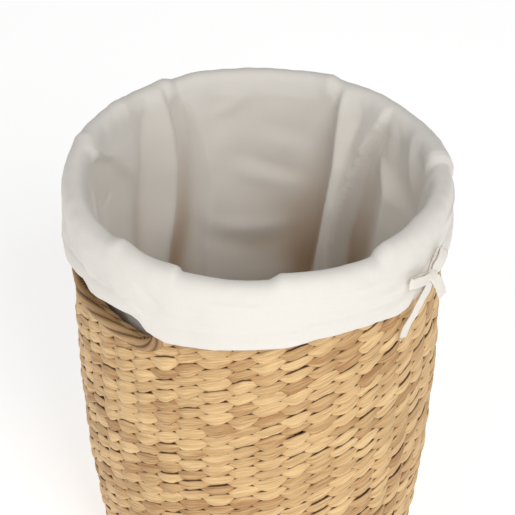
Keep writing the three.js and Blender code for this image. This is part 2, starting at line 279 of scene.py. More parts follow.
def build_twining():
    """Rows of two flat strands twined round stakes.

    Each point of the input is a row: row_radius and row_height place it, out_r and out_z say
    which way its outside faces, and row_number seeds what varies along it."""
    tree, given, sink = new_tree("Twined rows", "GeometryNodeTree", [
        ("Geometry", GEOMETRY, None),
        ("Stakes", WHOLE, 44),
        ("Steps", WHOLE, 8),
        ("Section", WHOLE, 14),
        ("Strand half width", FLOAT, 8 * MM),
        ("Strand half thickness", FLOAT, 2.3 * MM),
        ("Twist rise", FLOAT, 4 * MM),
        ("Twist depth", FLOAT, 2.3 * MM),
        ("Wander", FLOAT, 1.6 * MM),
        ("Lean", FLOAT, 0.035),
        ("Slot half width", FLOAT, 0),
        ("Slot half height", FLOAT, 0),
        ("Slot height", FLOAT, 0),
        ("Slot corner", FLOAT, 0),
        ("Material", MATERIAL, None),
    ], [("Geometry", GEOMETRY)])

    # one grid for each of the row's two strands: along it and round it
    pair = add_node(tree, "GeometryNodeDuplicateElements", {
        "Geometry": given["Geometry"], "Amount": 2,
    }, domain="POINT")
    rows = store(tree, pair.outputs["Geometry"], strand=pair.outputs["Duplicate Index"])
    grid = made(tree, "MeshGrid", {
        "Size X": 1.0, "Size Y": 1.0,
        "Vertices X": given["Stakes"] * given["Steps"] + 1, "Vertices Y": given["Section"] + 1,
    })
    x, y, _ = separate(tree, made(tree, "InputPosition"))
    strip = store(tree, grid, along=x + 0.5, round=y + 0.5)
    strands = made(tree, "InstanceOnPoints", {"Points": rows, "Instance": strip})
    solid = made(tree, "RealizeInstances", {"Geometry": strands})

    # where each point of a strand is in its twist: 0 at the front of a stake
    along, turn = named(tree, "along"), named(tree, "round") * TURN
    row, strand = named(tree, "row_number"), named(tree, "strand")
    radius, height = named(tree, "row_radius"), named(tree, "row_height")
    out_r, out_z = named(tree, "out_r"), named(tree, "out_z")
    phase = (along * given["Stakes"] + strand) * math.pi
    front = phase.cosine()
    lift = phase.sine() - (phase * 2).sine() * 0.1

    # what differs from leaf to leaf, faded out where a strand goes behind: its width, how far it
    # bulges out or is shifted up, and how its face is tipped
    leaf = (phase / TURN + 0.5).math("FLOOR") + (row * 2 + strand) * 97
    window = (phase / 2).cosine() ** 2
    uneven_by = 1.3 * MM
    wide = chance(tree, -0.14, 0.2, leaf, 3) * window + 1
    bulge = chance(tree, -uneven_by, uneven_by, leaf, 5) * window
    shift = chance(tree, -uneven_by, uneven_by, leaf, 7) * window
    tip = chance(tree, -0.55, 0.45, leaf, 13) * window

    # stakes don't stand quite upright or evenly
    even = along * TURN
    upright = combine(tree, even.cosine() * 3, even.sine() * 3, height * 4)
    angle = even + ripple(tree, upright, 2.2) * given["Lean"]
    course = combine(tree, angle.cosine(), angle.sine(), height * 5)
    drift = ripple(tree, course, 5.0) * given["Wander"]
    course = combine(tree, angle.sine(), height * 5, angle.cosine())
    swell = ripple(tree, course, 3.0) * given["Wander"]

    # the distance from a slot's rounded outline, less than zero inside it: the strands taper to it
    arc = angle.sine().absolute().math("ARCSINE") * radius
    corner = given["Slot corner"]
    level = (height + lift * given["Twist rise"] - given["Slot height"]).absolute()
    over_x = arc - given["Slot half width"] + corner
    over_z = level - given["Slot half height"] + corner
    outside = (over_x.math("MAXIMUM", 0) ** 2 + over_z.math("MAXIMUM", 0) ** 2).math("SQRT")
    away = outside + over_x.math("MAXIMUM", over_z).math("MINIMUM", 0) - corner
    taper = ((away - 2 * MM) / (5 * MM)).clamped()

    # the strand's flat section, creased lengthwise, widest in front of a stake
    fullness = (front * 0.5 + 0.5) ** 1.35 * 0.7 + 0.3
    half = given["Strand half width"] * fullness * wide * taper
    wedge = turn.cosine()
    crease = ripple(tree, combine(tree, along * 60, wedge * 1.6, row * 3.7 + strand * 17), 2.2, 3.0)
    thick = given["Strand half thickness"] * (crease * 0.28 + 1.15 - fullness * 0.15) * taper
    side = wedge * half + shift + drift + lift * given["Twist rise"]
    stand = front * (front ** 2 * -0.3 + 1.3)
    outward = turn.sine() * thick + stand * (given["Twist depth"] + bulge) + swell
    outward = outward + tip * wedge * thick * front

    far = radius + outward * out_r + side * (out_z * -1)
    high = height + outward * out_z + side * out_r
    shaped = made(tree, "SetPosition", {
        "Geometry": solid, "Position": combine(tree, far * angle.cosine(), far * angle.sine(), high),
    })
    tone = chance(tree, 0.0, 1.0, leaf, 11)
    # depth and edge drive the painted shade in the crevices and along the strands' edges
    shaped = store(tree, shaped, leaf_tone=tone, depth=outward, edge=wedge, run=along * radius * TURN)

    # nothing is left in the slots, and each strand closes on itself
    cut = made(tree, "DeleteGeometry", {
        "Geometry": shaped, "Selection": (away - 1 * MM).math("LESS_THAN", 0),
    }, domain="POINT")
    closed = made(tree, "MergeByDistance", {"Geometry": cut, "Distance": 0.02 * MM})
    finish_geometry(tree, closed, given["Material"], sink)
    return tree


def build_wrapping():
    """A core along a closed line, with flat strands wound round it."""
    tree, given, sink = new_tree("Wrapped core", "GeometryNodeTree", [
        ("Geometry", GEOMETRY, None),
        ("Length steps", WHOLE, 400),
        ("Radius", FLOAT, 6 * MM),
        ("Wraps", WHOLE, 90),
        ("Strands", WHOLE, 1),
        ("Sides", WHOLE, 16),
        ("Swell", FLOAT, 0.9 * MM),
        ("Number", FLOAT, 0),
        ("Material", MATERIAL, None),
    ], [("Geometry", GEOMETRY)])

    def share():
        return made(tree, "SplineParameter")

    line = made(tree, "ResampleCurve", {"Curve": given["Geometry"], "Count": given["Length steps"]})
    circle = made(tree, "CurvePrimitiveCircle", {"Resolution": given["Sides"], "Radius": given["Radius"]})
    tube = made(tree, "CurveToMesh", {
        "Curve": store(tree, line, along=share()), "Profile Curve": store(tree, circle, round=share()),
    })

    # each strand is highest along its middle, and creased
    swell, turned = given["Swell"], named(tree, "round")
    turns = named(tree, "along") * given["Wraps"] + turned * given["Strands"]
    across = turns.math("FRACT") * 2 - 1
    number = turns.math("FLOOR")
    crown = (across ** 2 * -1 + 1) * swell
    crease = ripple(tree, combine(tree, across * 1.5, number * 3.1, turned * 4), 2.0, 3.0) * swell
    offset = add_node(tree, "ShaderNodeVectorMath", {
        0: made(tree, "InputNormal"), "Scale": crown - swell + crease * 0.35,
    }, operation="SCALE").outputs[0]
    shaped = made(tree, "SetPosition", {"Geometry": tube, "Offset": offset})
    tone = chance(tree, 0.0, 1.0, number + given["Number"] * 101, 0)
    run = turned * given["Radius"] * TURN + number * 0.37
    # depth is tripled so the painted crevice shade darkens the gaps between wound strands; edge carries the
    # painted shade along each strand's sides
    shaped = store(tree, shaped, leaf_tone=tone, depth=(crown - swell) * 3, edge=across, run=run)
    finish_geometry(tree, shaped, given["Material"], sink)
    return tree


def grown(name, source, tree, body, values):
    """A plain mesh piece, made by a node tree from a source mesh or curve."""
    seedling = link(bpy.data.objects.new(name + "_source", source))
    modifier = seedling.modifiers.new("nodes", "NODES")
    modifier.node_group = tree
    for item in tree.interface.items_tree:
        if item.in_out == "INPUT" and item.name in values:
            modifier[item.identifier] = values[item.name]
    view = bpy.context.evaluated_depsgraph_get()
    mesh = bpy.data.meshes.new_from_object(
        seedling.evaluated_get(view), preserve_all_data_layers=True, depsgraph=view,
    )
    bpy.data.objects.remove(seedling)
    piece = link(bpy.data.objects.new(name, mesh))
    mesh.name = name
    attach(piece, body)
    return piece


# ---------------- materials

# the colour of the painted shade in crevices and at strand edges, and of the dark flecks
SHADE_AND_FLECK_COLOUR = (0.09, 0.035, 0.01, 1)
# warm brown for the weave seen through the cloth, and for painted shade deep in the liner
WEAVE_THROUGH_AND_SHADE_COLOUR = (0.36, 0.22, 0.11, 1)


def read(tree, name):
    return Field(tree, add_node(tree, "ShaderNodeAttribute", attribute_name=name).outputs["Fac"])


def build_fibre_group():
    """Dried flat plant stem: a tone for each strand, fine streaks along it, dark flecks, and painted shade
    in its crevices and along its edges.
    """
    tree, given, sink = new_tree("Dried stem", "ShaderNodeTree", [
        ("Pale", COLOUR, (0.8, 0.6, 0.36, 1)),
        ("Dark", COLOUR, (0.5, 0.3, 0.13, 1)),
        ("Crevice depth", FLOAT, 4 * MM),
    ], [("Color", COLOUR), ("Height", FLOAT), ("Roughness", FLOAT)])
    tone, depth, edge, run = [read(tree, name) for name in ("leaf_tone", "depth", "edge", "run")]
    streak = ripple(tree, combine(tree, run * 10, edge * 2.4 + tone * 40, tone * 77), 3.2, 6.0)
    fine = ripple(tree, combine(tree, run * 22, edge * 9, tone * 31), 3.0, 4.0)
    patch = ripple(tree, combine(tree, run * 9, edge * 0.5, tone * 53), 2.6, 2.0)
    fleck = ripple(tree, combine(tree, run * 70, edge * 3, tone * 13), 2.0, 3.0)
    mix = (tone ** 1.6 * 0.6 + streak * 0.85 + fine * 0.6 + patch * 0.5 + 0.2).clamped()
    body = blend(tree, mix, given["Pale"], given["Dark"])

    # painted shade where a strand lies low and along its two edges, most along the edge tucked under the
    # next row; dark flecks on top
    stain = ((fleck - 0.34) * 4).clamped() * 0.55
    crevice_shade = ((depth * -1 + given["Crevice depth"]) / (5 * MM)).clamped()
    # painted shade along the upper edge, where it tucks under the row above, and along both edges
    tucked_shade = ((edge - 0.7) * 4).clamped() * 0.3
    rim = ((edge.absolute() - 0.84) * 8).clamped() * 0.85 + tucked_shade
    shade = (crevice_shade * 0.85 + rim + stain * 0.6).clamped()
    feed(tree, sink.inputs["Color"], blend(tree, shade, body, SHADE_AND_FLECK_COLOUR))
    feed(tree, sink.inputs["Height"], streak * 0.6 + fine * 0.5)
    feed(tree, sink.inputs["Roughness"], streak * 0.08 + 0.56)
    return tree


def build_cloth_group():
    """Plain woven cotton: threads both ways, faint slubs and a soft unevenness."""
    tree, given, sink = new_tree("Plain cotton", "ShaderNodeTree", [
        ("Color", COLOUR, (0.86, 0.83, 0.77, 1)),
        ("Shade", COLOUR, (0.7, 0.64, 0.54, 1)),
        ("Threads", FLOAT, 900.0),
        ("Show through", FLOAT, 0.0),
    ], [("Color", COLOUR), ("Height", FLOAT)])
    flat = add_node(tree, "ShaderNodeTexCoord").outputs["UV"]
    u, v, _ = separate(tree, flat)
    weave = (u * given["Threads"] * TURN).sine() * (v * given["Threads"] * TURN).sine()
    slubs = ripple(tree, combine(tree, u * 14, v * 160, 0.0), 3.0, 3.0)
    slubs = slubs + ripple(tree, combine(tree, u * 160, v * 14, 4.0), 3.0, 3.0)
    soft = ripple(tree, flat, 9.0, 3.0)
    tint = (soft * 0.16 + slubs * 0.12 + 0.1 + weave * 0.05).clamped()
    thread = blend(tree, tint, given["Color"], given["Shade"])
    # the liner's stored mask: the weave's colour where the cloth lies on it, and painted shade lower down
    through = read(tree, "show_through_and_shade") * given["Show through"]
    feed(tree, sink.inputs["Color"], blend(tree, through, thread, WEAVE_THROUGH_AND_SHADE_COLOUR))
    feed(tree, sink.inputs["Height"], weave * 0.5 + slubs * 0.6)
    return tree


def surface(name, group=None, inputs=None, bump=0.4, distance=0.5 * MM, **values):
    """A material: Principled BSDF, with colour and bump from a group where one is given."""
    material = bpy.data.materials.new(name)
    material.use_nodes = True
    tree = material.node_tree
    bsdf = tree.nodes["Principled BSDF"]
    for label, value in values.items():
        feed(tree, bsdf.inputs[label.replace("_", " ")], value)
    if group:
        effect = add_node(tree, "ShaderNodeGroup", node_tree=group)
        for label, value in inputs.items():
            feed(tree, effect.inputs[label], value)
        relief = add_node(tree, "ShaderNodeBump", {
            "Strength": bump, "Distance": distance, "Height": effect.outputs["Height"],
        })
        feed(tree, bsdf.inputs["Base Color"], effect.outputs["Color"])
        feed(tree, bsdf.inputs["Normal"], relief.outputs["Normal"])
        if "Roughness" in effect.outputs:
            feed(tree, bsdf.inputs["Roughness"], effect.outputs["Roughness"])
    return material


def make_steel():
    """Dull drawn wire, with faint tarnish."""
    material = surface("drawn steel wire", Metallic=1.0)
    tree = material.node_tree
    bsdf = tree.nodes["Principled BSDF"]
    tarnish = ripple(tree, add_node(tree, "ShaderNodeTexCoord").outputs["Object"], 90.0, 4.0)
    mix = (tarnish * 0.6 + 0.4).clamped()
    colour = blend(tree, mix, (0.42, 0.42, 0.43, 1), (0.2, 0.17, 0.15, 1))
    feed(tree, bsdf.inputs["Base Color"], colour)
    feed(tree, bsdf.inputs["Roughness"], tarnish * 0.12 + 0.42)
    return material


fibre = build_fibre_group()
cloth = build_cloth_group()
hyacinth = surface("twined water hyacinth", fibre, {
    "Pale": (0.87, 0.60, 0.29, 1), "Dark": (0.38, 0.18, 0.055, 1), "Crevice depth": -0.6 * MM,
}, bump=0.5, distance=0.6 * MM)
border = surface("wrapped water hyacinth", fibre, {
    "Pale": (0.66, 0.42, 0.2, 1), "Dark": (0.36, 0.19, 0.07, 1), "Crevice depth": -0.2 * MM,
}, bump=0.5, distance=0.6 * MM)
cotton = surface("off-white cotton", cloth, {
    "Color": (0.83, 0.79, 0.73, 1), "Shade": (0.75, 0.705, 0.63, 1), "Threads": 900.0, "Show through": 0.8,
}, bump=0.12, distance=0.2 * MM, Roughness=0.92, Sheen_Weight=0.25)
tape = surface("cotton tape", cloth, {
    "Color": (0.83, 0.79, 0.72, 1), "Shade": (0.73, 0.67, 0.59, 1), "Threads": 1100.0,
}, bump=0.2, distance=0.2 * MM, Roughness=0.9, Sheen_Weight=0.2)
steel = make_steel()


# ---------------- basket

STAKES = 44
ROW_PITCH = 14.3 * MM
ROW_INSET = 5.4 * MM
WALL_BANDS = 4


def row_points(rows):
    """A mesh of loose points, one for each row, with what the twining reads."""
    mesh = bpy.data.meshes.new("rows")
    mesh.from_pydata([(0, 0, 0)] * len(rows), [], [])
    for name, column in zip(("row_number", "row_radius", "row_height", "out_r", "out_z"), zip(*rows)):
        mesh.attributes.new(name, "FLOAT", "POINT").data.foreach_set("value", [float(v) for v in column])
    return mesh


def make_wall(twining):
    count = round((WALL_HIGH - WALL_LOW) / ROW_PITCH)
    pitch = (WALL_HIGH - WALL_LOW) / count
    rows = []
    for i in range(count):
        z = WALL_LOW + pitch * (i + 0.5)
        lean = math.atan2(wall_radius(z + MM) - wall_radius(z - MM), 2 * MM)
        rows.append((i, wall_radius(z) - ROW_INSET, z, math.cos(lean), -math.sin(lean)))
    for band in range(WALL_BANDS):
        part = rows[band * count // WALL_BANDS:(band + 1) * count // WALL_BANDS]
        piece = grown(f"wall_twining_{band + 1}", row_points(part), twining, "basket", {
            "Stakes": STAKES, "Strand half width": 8.9 * MM, "Twist rise": 3.9 * MM,
            "Slot half width": SLOT_HALF, "Slot half height": SLOT_TALL, "Slot height": SLOT_MIDDLE,
            "Slot corner": SLOT_CORNER, "Material": hyacinth,
        })
        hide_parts("wall_lower", "wall_upper")


# The base's rings of twining, as (name, stakes, first row's radius in mm, rows, mm from row to row)
BASE_RINGS = [
    ("base_twining_centre", 6, 7, 2, 9),
    ("base_twining_inner", 14, 26, 5, 11),
    ("base_twining_outer", 28, 81, 6, 12.2),
]


def make_base(twining):
    low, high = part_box("base_weave")
    middle = (low.z + high.z) / 2
    faces_down, first_number = (0, -1), 40
    for name, stakes, first, count, pitch in BASE_RINGS:
        rows = [
            (first_number + first + i, (first + pitch * i) * MM, middle, *faces_down) for i in range(count)
        ]
        piece = grown(name, row_points(rows), twining, "basket", {
            "Stakes": stakes, "Steps": 10, "Section": 10, "Strand half width": 0.6 * pitch * MM,
            "Strand half thickness": 1.7 * MM, "Twist rise": 2 * MM, "Twist depth": 2.2 * MM,
            "Wander": 0.3 * MM, "Lean": 0.0, "Slot half width": -1.0, "Material": hyacinth,
        })
        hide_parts("base_weave")


def closed_line(points):
    curve = bpy.data.curves.new("line", "CURVE")
    curve.dimensions = "3D"
    spline = curve.splines.new("POLY")
    spline.points.add(len(points) - 1)
    for slot, point in zip(spline.points, points):
        slot.co = (*point, 1)
    spline.use_cyclic_u = True
    return curve


def ring_line(radius, z, count=180):
    return closed_line([around(i * 360 / count, radius, z) for i in range(count)])


def slot_line(centre, margin, inset):
    """A slot's rounded outline, grown by a margin, on the wall at a depth inside its face."""
    corner = SLOT_CORNER + margin
    points = []
    steps = 8
    for quarter, (sx, sz) in enumerate(((1, -1), (1, 1), (-1, 1), (-1, -1))):
        for step in range(steps + 1):
            turn = math.radians(-90 + quarter * 90 + step * 90 / steps)
            x = sx * (SLOT_HALF + margin - corner) + corner * math.cos(turn)
            z = SLOT_MIDDLE + sz * (SLOT_TALL + margin - corner) + corner * math.sin(turn)
            points.append(around(math.degrees(x / WALL_RADIUS) + centre, wall_radius(z) - inset, z))
    dense = []
    for a, b in zip(points, points[1:] + points[:1]):
        pieces = max(1, round((b - a).length / (8 * MM)))
        for i in range(pieces):
            x, y, z = a.lerp(b, i / pieces)
            grow = (wall_radius(z) - inset) / math.hypot(x, y)
            dense.append(Vector((x * grow, y * grow, z)))
    return closed_line(dense)


def make_borders(wrapping):
    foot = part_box("foot_border")[1].z
    rim_radius = 189 * MM
    # (name, line, radius in mm, wraps, strands, swell in mm, steps, CAD node)
    ropes = [
        ("rim_wrapping", ring_line(rim_radius, RIM_HEIGHT), 9, 110, 1, 0.9, 900, "rim_border"),
        ("foot_wrapping_outer", ring_line(157 * MM, foot / 2), 7.5, 84, 1, 0.9, 720, "foot_border"),
        ("foot_wrapping_inner", ring_line(145.4 * MM, foot - 4.8 * MM), 4.6, 96, 1, 0.9, 720,
         "foot_border"),
    ]
    for side, centre in (("right", 0), ("left", 180)):
        node = "handle_trim_" + side
        edge, lining = slot_line(centre, 4.6 * MM, 4.2 * MM), slot_line(centre, 3.5 * MM, 11.4 * MM)
        ropes.append((f"handle_wrapping_{side}", edge, 7.4, 10, 4, 1.7, 600, node))
        ropes.append((f"handle_lining_{side}", lining, 4.6, 14, 2, 1.2, 420, node))
    for number, (name, line, radius, wraps, strands, swell, steps, node) in enumerate(ropes):
        piece = grown(name, line, wrapping, "basket", {
            "Length steps": steps, "Radius": radius * MM, "Wraps": wraps, "Strands": strands,
            "Sides": 16 if strands == 1 else 40, "Swell": swell * MM, "Number": float(number),
            "Material": border,
        })
        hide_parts(node)


def finish_steel():
    for name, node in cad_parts.items():
        if name.startswith(("upright_", "base_wire_", "handle_wire_")) or name in ("base_ring", "rim_ring"):
            node.data.materials.clear()
            node.data.materials.append(steel)


# ---------------- liner

CLOTH_THICKNESS = 0.9 * MM
LINER_WIDTH = 1.25
BAG_RADIUS = 172 * MM
CUFF_RADIUS = 200 * MM
BAG_TOP = 494 * MM

# The rows of cloth over the rim, as (radius in mm, height in mm, share of RIM_RISE added to it)
ROLL = [
    (177.6, 499.5, 0.6), (178.9, 503.6, 0.75), (180.9, 507.4, 0.9), (183.4, 510.2, 1), (186.3, 511.8, 1),
    (189.4, 512.2, 1), (192.6, 511.8, 1), (195.6, 510.4, 0.95), (198.0, 507.8, 0.85), (199.7, 504.2, 0.65),
    (200.8, 499.6, 0.45), (201.4, 494.6, 0.25),
]

# The cuff's lower edge, as (angle, height in mm)
CUFF_EDGE = [
    (0, 443), (45, 441), (90, 442), (130, 440), (158, 437), (166, 444), (173, 450), (178, 445),
    (187, 448.6), (195, 449.8), (198, 445.8), (200.5, 437.5), (206.5, 432), (214, 434.7), (223, 438.6),
    (242, 442), (250, 446.4), (260, 446.9), (269, 444.6), (277, 439.4), (282, 442), (286, 452), (292, 459),
    (299, 458), (312, 452), (330, 446),
]

# How far the cloth stands over the rim, as (angle, mm)
RIM_RISE = [
    (0, 0), (10, 0.5), (20, 0), (26, 0), (28.5, 5), (33, 2), (40, 1), (52, 1), (63, 1.5), (72, 3.2),
    (82, 2), (85, 7), (88, 5), (95, 4), (100, 5), (104.5, 8), (110, 6), (118, 6), (127, 9), (134, 6),
    (150, 3), (168, 1.5), (177, 1), (183, 3), (187.5, 8), (192, 6), (197, 4), (203, 3.5), (208.5, 4.5),
    (209.8, 0), (216, 0.5), (224, 0), (237, 0.5), (240.5, 7), (249, 5.5), (257, 3.5), (263, 2), (271, 1),
    (273.5, 7), (276, 9.5), (286, 8), (296, 7), (306, 5), (318, 2), (327, 0.5), (331, 6), (340, 4),
    (353, 0),
]

# Upright folds: (angle, height, push inwards, spread to lower angles, spread to higher angles) in mm
TRACKS = {
    "left crease": [
        (86, 510, -2, 2, 6), (83.2, 496, -9, 4, 8), (82, 468, -13, 7, 9), (81, 420, -13, 10, 10),
        (81.5, 390, -12, 13, 12), (82.5, 340, -12, 16, 14), (87, 277, -10, 16, 18), (90, 150, -5, 16, 28),
    ],
    "ridge by the left crease": [
        (82, 506, 1, 10, 3), (76, 470, 4, 20, 8), (73, 430, 6, 26, 10), (71, 380, 8, 26, 14),
        (73, 330, 8, 24, 12), (74, 150, 5, 20, 12),
    ],
    "left swell": [
        (90, 512, 3, 3, 14), (88.2, 490, 8, 4, 18), (87, 462, 12, 5, 24), (86.5, 420, 14, 6, 28),
        (88, 370, 14, 8, 26), (91, 320, 12, 10, 24), (96, 200, 6, 18, 24),
    ],
    "left pleat": [
        (97.5, 510, -3, 6, 8), (99.3, 473, -5, 8, 10), (100.4, 434, -7, 12, 10), (102.5, 376, -8, 14, 12),
        (104, 250, -6, 14, 12),
    ],
    "pointed fold": [
        (137, 509, 2, 14, 6), (128, 496, 8, 22, 4), (117.8, 478, 7, 24, 9), (107.5, 440, 5, 24, 14),
        (101, 405, 0, 20, 14),
    ],
    "hollow under it": [
        (137, 500, -3, 4, 6), (135, 480, -7, 8, 8), (129, 440, -6, 10, 12), (124, 400, 0, 10, 12),
    ],
    "left dart": [(119, 440, 0, 4, 3), (122, 434, -4, 5, 3), (128, 425, 0, 6, 3)],
    "left back fold": [
        (136, 480, 2, 16, 10), (146, 430, 8, 22, 18), (150, 300, 8, 30, 24), (150, 150, 4, 30, 24),
    ],
    "centre left dip": [
        (73.6, 512, -1, 5, 5), (71, 495, -1.5, 9, 9), (69, 470, -2, 12, 12), (68, 440, 0, 12, 12),
    ],
    "centre left ridge": [
        (55, 508, 1, 12, 8), (60, 486, 2, 16, 10), (66, 476, 2, 16, 10), (69, 462, 0, 12, 10),
    ],
    "right valley": [
        (25.4, 512, -5, 1.5, 3), (24.8, 500, -8, 2, 10), (24.6, 469, -11, 2.5, 22),
        (25.5, 418, -12, 3, 34), (28, 367, -12, 5, 44), (31, 311, -12, 6, 46), (34, 240, -9, 8, 40),
        (36, 120, -3, 8, 30),
    ],
    "right ridge": [
        (22, 512, 5, 8, 3), (21.4, 491, 11, 12, 4), (21.8, 422, 16, 14, 4), (24.4, 364, 19, 14, 5),
        (27.9, 303, 19, 14, 5), (31, 240, 15, 14, 6), (32, 120, 5, 12, 6),
    ],
    "soft dip": [(11, 512, -2, 4, 5), (13.4, 493, -4, 6, 7), (15.5, 460, -4, 7, 8), (17, 425, 0, 7, 8)],
    "pocket lip": [
        (1.6, 514, 6, 1.5, 12), (4.2, 492, 12, 1.5, 16), (8.6, 460, 18, 2, 18), (14.2, 412, 20, 3, 14),
        (18.4, 369, 20, 4, 12), (21.4, 316, 18, 5, 10), (22.9, 268, 13, 8, 10), (24, 120, 4, 10, 10),
    ],
    "pocket": [
        (-1.5, 515, -3, 2, 2), (1.4, 498, -9, 4, 2), (4.2, 470, -12, 7, 3), (7.5, 442, -14, 10, 4),
        (10.3, 401, -15, 15, 5), (12.8, 364, -15, 18, 6), (15.8, 317, -14, 22, 7), (19, 240, -8, 22, 8),
        (20, 120, -3, 22, 8),
    ],
    "facet edge": [
        (5.8, 456, 0, 14, 2), (0.8, 436, 7, 24, 3), (-3.9, 418, 13, 30, 5), (-2, 380, 15, 34, 8),
        (1, 330, 14, 34, 10), (3, 240, 8, 30, 14), (3, 120, 3, 30, 14),
    ],
    "upper facet": [
        (-6, 506, -3, 10, 6), (-6.7, 487, -5, 14, 8), (-6, 450, -4, 16, 8), (-6, 430, 0, 16, 8),
    ],
    "right swell": [
        (-13, 508, 2, 8, 10), (-17, 490, 6, 12, 10), (-20, 460, 4, 14, 12), (-24, 420, 0, 14, 12),
    ],
    "right dip": [
        (-22, 506, -2, 8, 5), (-27, 485, -7, 12, 7), (-25, 455, -6, 14, 9), (-21, 400, -3, 14, 12),
    ],
    "front fold one": [
        (205, 505, 2, 8, 8), (206, 450, 7, 16, 16), (208, 200, 8, 24, 24), (208, 100, 3, 24, 24),
    ],
    "front fold two": [
        (236, 500, 2, 8, 8), (238, 450, 6, 16, 16), (235, 200, 8, 26, 22), (235, 100, 3, 24, 24),
    ],
}

# Plain folds, alike but for their angles at the top, the middle and the foot
for name, top, middle, foot in (
    ("front fold three", 262, 266, 265), ("front fold four", 293, 296, 298),
    ("front fold five", 176, 176, 180), ("right back fold", 322, 326, 328),
):
    TRACKS[name] = [
        (top, 505, 2, 8, 8), (middle, 450, 6, 14, 14), (foot, 200, 8, 24, 24), (foot, 100, 3, 24, 24),
    ]

# Sagging folds across the back, as (angle, height, half length, half height, sag, fall to the right,
# push inwards) in mm
SWAGS = [
    (44, 452, 44, 14, 4, 8, -1.0), (40, 428, 40, 14, 4, 8, 1.3), (47, 402, 40, 9, 5, 12, -1.7),
    (50, 384, 40, 10, 6, 10, 1.6), (44, 352, 46, 18, 8, 6, -1.2), (58, 322, 44, 11, 12, 6, 3.0),
    (60, 298, 42, 12, 14, 6, -3.0), (55, 258, 52, 16, 14, 0, 1.6),
]

# Creases on the cuff, as two ends of (angle, height), half width and push outwards in mm
CUFF_CREASES = [
    ((186, 478), (203, 452), 6, 2.2), ((196, 496), (206, 470), 5, -1.6), ((205, 470), (226, 458), 5, 1.2),
    ((212, 500), (236, 492), 6, 1.0), ((262, 478), (286, 470), 5, 1.6), ((240, 466), (280, 486), 6, -1.2),
    ((256, 500), (276, 486), 6, 1.2), ((272, 452), (288, 458), 4, 1.8), ((300, 470), (322, 480), 6, -1.6),
    ((168, 500), (178, 462), 6, 1.6), ((150, 492), (168, 456), 7, -1.8), ((222, 452), (252, 458), 4, -1.0),
    ((160, 480), (150, 450), 6, 1.4), ((302, 496), (330, 500), 7, 2.0),
]


def bag_limit(z):
    """How far from the axis the cloth can be at a height before it meets the wall."""
    return min(177.2 * MM, wall_radius(z) - 16 * MM)


def round_rim(table, angles):
    """A table of (angle, mm), read at angles in degrees, in metres."""
    keys, values = zip(*sorted(table))
    return np.interp(angles, keys, np.array(values) * MM, period=360)


def apart(angles, centre):
    """Signed difference in degrees, the short way round."""
    return (angles - centre + 180) % 360 - 180


def uneven(x, y, size, seed):
    """Smooth noise, about -1 to 1, on points given in metres."""
    values = [noise.noise((a, b, seed * 7.3)) for a, b in zip((x / size).ravel(), (y / size).ravel())]
    return np.array(values).reshape(x.shape)


def fold_push(angles, heights):
    """How far the bag's folds push it inwards at each point, in metres."""
    push = np.zeros_like(angles)
    z = heights / MM
    arc = math.radians(1) * BAG_RADIUS / MM
    for track in TRACKS.values():
        at, level, depth, before, after = (np.array(column, float) for column in zip(*track[::-1]))
        fade = np.clip((z - level[0]) / 60 + 1, 0, 1) * np.clip((level[-1] - z) / 4 + 1, 0, 1)
        beside = apart(angles, np.interp(z, level, at)) * arc
        spread = np.where(beside < 0, np.interp(z, level, before), np.interp(z, level, after))
        push += np.interp(z, level, depth) * fade * np.exp(-(np.abs(beside) / spread) ** 1.35)
    for at, level, half, tall, sag, fall, depth in SWAGS:
        beside = apart(angles, at) * arc / half
        above = (z - level - fall * beside - sag * beside ** 2 + sag / 2) / tall
        push += depth * np.exp(-np.abs(beside) ** 2.5 - above ** 2)
    return push * MM


def shape_bag(theta, radius, height, levels, rise):
    """Sets the bag's rows, and returns how much of the weave shows through them, with painted shade that
    grows lower down.

    It lies on the floor's edge at the foot, and widens to the rim at the top."""
    turn = np.radians(theta)
    height[:] = levels[:, None]
    limit = np.array([bag_limit(z) for z in levels])[:, None]
    hung = np.array([min(BAG_RADIUS, wall_radius(z) - 21 * MM) for z in levels])[:, None]
    to_rim = np.clip((levels - 0.455) / 0.05, 0, 1)[:, None] ** 2
    off_floor = np.clip((levels - levels[0]) / 0.05, 0, 1)[:, None]
    loose = uneven(np.cos(turn) * 0.17, height + np.sin(turn) * 0.17, 0.05, 1)
    shape = hung - fold_push(theta, height) * (1 - 0.2 * to_rim) + loose * 1.6 * MM
    shape = shape * off_floor + (limit - 0.5 * MM) * (1 - off_floor) + to_rim * 4.5 * MM

    # a fold that would go through the wall is flattened against it
    soft = 1.5 * MM
    radius[:] = limit - np.log1p(np.exp((limit - shape) / soft)) * soft
    height += rise * to_rim * 0.5

    # the weave's colour shows through where the cloth lies on the wall, and painted shade browns the cloth
    # more the lower it hangs
    deep = np.clip((0.47 - levels) / 0.2, 0, 1)[:, None]
    return np.exp(-(limit - radius) / (2.2 * MM)) * deep + deep ** 2 * 0.2


def shape_roll(theta, radius, height, rise):
    """Sets the rows over the rim."""
    for i, (r, z, _) in enumerate(ROLL):
        radius[i], height[i] = r * MM, z * MM
    push = np.clip(fold_push(theta, np.full_like(theta, 0.5)), 0, 9 * MM)
    fade = np.linspace(1, 0, len(ROLL))[:, None]
    inner = np.clip(1 - np.arange(len(ROLL)) / 6, 0, 1)[:, None]
    radius -= push * inner + rise * 0.35 * fade
    height += rise * np.array([share for _, _, share in ROLL])[:, None]
    gather = uneven(np.radians(theta) * 0.19, height, 0.013, 3)
    radius += gather * 0.9 * MM
    height += (gather * 0.5 + 0.5) * MM


